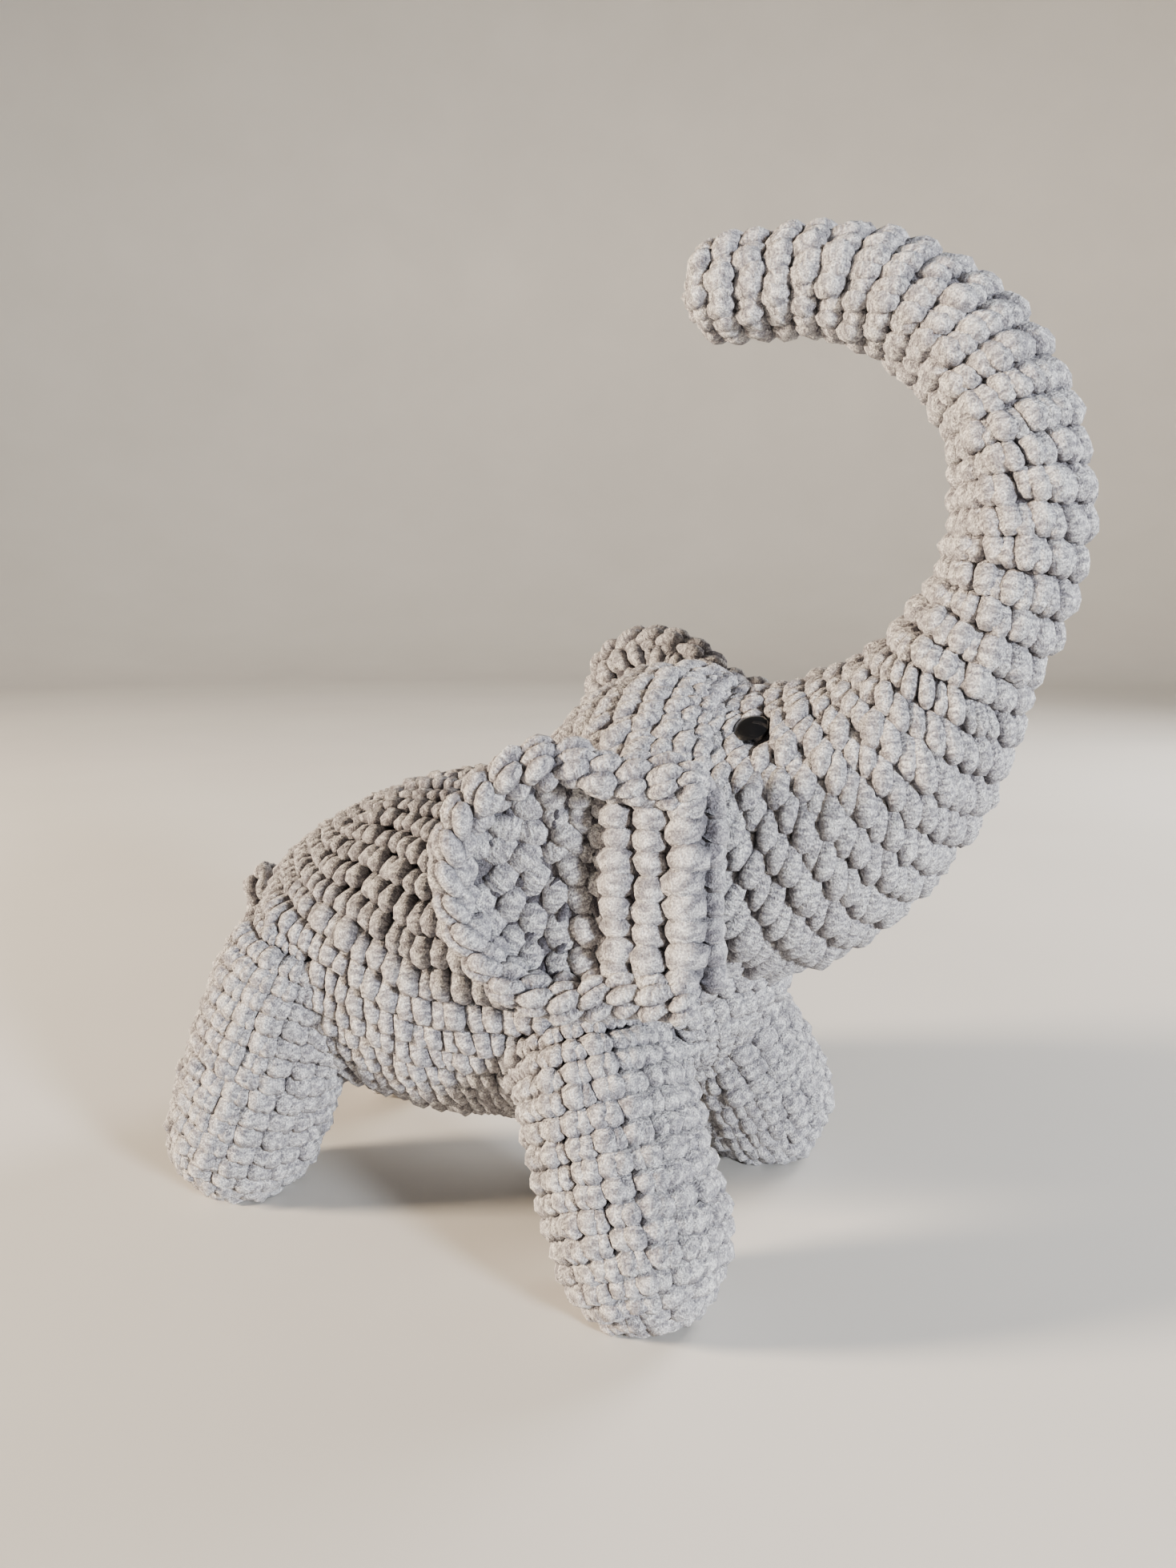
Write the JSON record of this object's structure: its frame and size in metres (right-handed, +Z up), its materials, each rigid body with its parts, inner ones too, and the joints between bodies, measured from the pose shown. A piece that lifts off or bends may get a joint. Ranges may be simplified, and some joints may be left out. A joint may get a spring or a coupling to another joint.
{
  "type": "stuffed toy elephant",
  "caption": "Soft crocheted toy elephant that stands on four stuffed legs, with cupped ears, a tail, bead eyes and a long trunk raised in a curve over its head.",
  "frame": {"origin": "on the ground below the middle of the overall box", "axes": "+Z up, the elephant faces -Y, +X toward its left side"},
  "size_m": [0.1724, 0.3076, 0.314],
  "materials": {
    "yarn": "plush chenille yarn, matt",
    "filling": "white polyester fibre",
    "eye_plastic": "glossy",
    "washer_plastic": "matt"
  },
  "bodies": {
    "body": {"body_shell": "yarn", "body_stuffing": "filling", "front_right_leg_shell": "yarn", "front_right_leg_stuffing": "filling", "front_left_leg_shell": "yarn", "front_left_leg_stuffing": "filling", "hind_right_leg_shell": "yarn", "hind_right_leg_stuffing": "filling", "hind_left_leg_shell": "yarn", "hind_left_leg_stuffing": "filling"},
    "head": {"head_shell": "yarn", "head_stuffing": "filling", "eye_right": "eye_plastic", "eye_left": "eye_plastic", "eye_washer_right": "washer_plastic", "eye_washer_left": "washer_plastic"},
    "trunk_lower": {"trunk_lower_shell": "yarn", "trunk_lower_stuffing": "filling"},
    "trunk_middle": {"trunk_middle_shell": "yarn", "trunk_middle_stuffing": "filling"},
    "trunk_tip": {"trunk_tip_shell": "yarn", "trunk_tip_stuffing": "filling"},
    "ear_right": {"ear_right": "yarn"},
    "ear_left": {"ear_left": "yarn"},
    "tail": {"tail": "yarn"}
  },
  "joints": [
    {"name": "head_nod", "type": "hinge", "parent": "body", "child": "head", "pos_m": [0, -0.0389, 0.1347], "axis": [1, 0, 0], "range_deg": [-8, 8], "stiffness_Nm_per_rad": 6},
    {"name": "trunk_root_bend", "type": "hinge", "parent": "head", "child": "trunk_lower", "pos_m": [0, -0.12567, 0.19634], "axis": [1, 0, 0], "range_deg": [-15, 15], "stiffness_Nm_per_rad": 2},
    {"name": "trunk_middle_bend", "type": "hinge", "parent": "trunk_lower", "child": "trunk_middle", "pos_m": [0, -0.13525, 0.24137], "axis": [1, 0, 0], "range_deg": [-20, 20], "stiffness_Nm_per_rad": 1.2},
    {"name": "trunk_tip_bend", "type": "hinge", "parent": "trunk_middle", "child": "trunk_tip", "pos_m": [0, -0.11186, 0.28355], "axis": [1, 0, 0], "range_deg": [-20, 20], "stiffness_Nm_per_rad": 0.8},
    {"name": "ear_right_flap", "type": "hinge", "parent": "head", "child": "ear_right", "pos_m": [-0.05806, -0.06338, 0.131], "axis": [0, 0, 1], "range_deg": [0, 60], "stiffness_Nm_per_rad": 0.15},
    {"name": "ear_left_flap", "type": "hinge", "parent": "head", "child": "ear_left", "pos_m": [0.06092, -0.03498, 0.14344], "axis": [0.2874, 0.3801, -0.8792], "range_deg": [0, 60], "stiffness_Nm_per_rad": 0.15},
    {"name": "tail_swing", "type": "hinge", "parent": "body", "child": "tail", "pos_m": [0, 0.1387, 0.098], "axis": [1, 0, 0], "range_deg": [0, 75]}
  ]
}
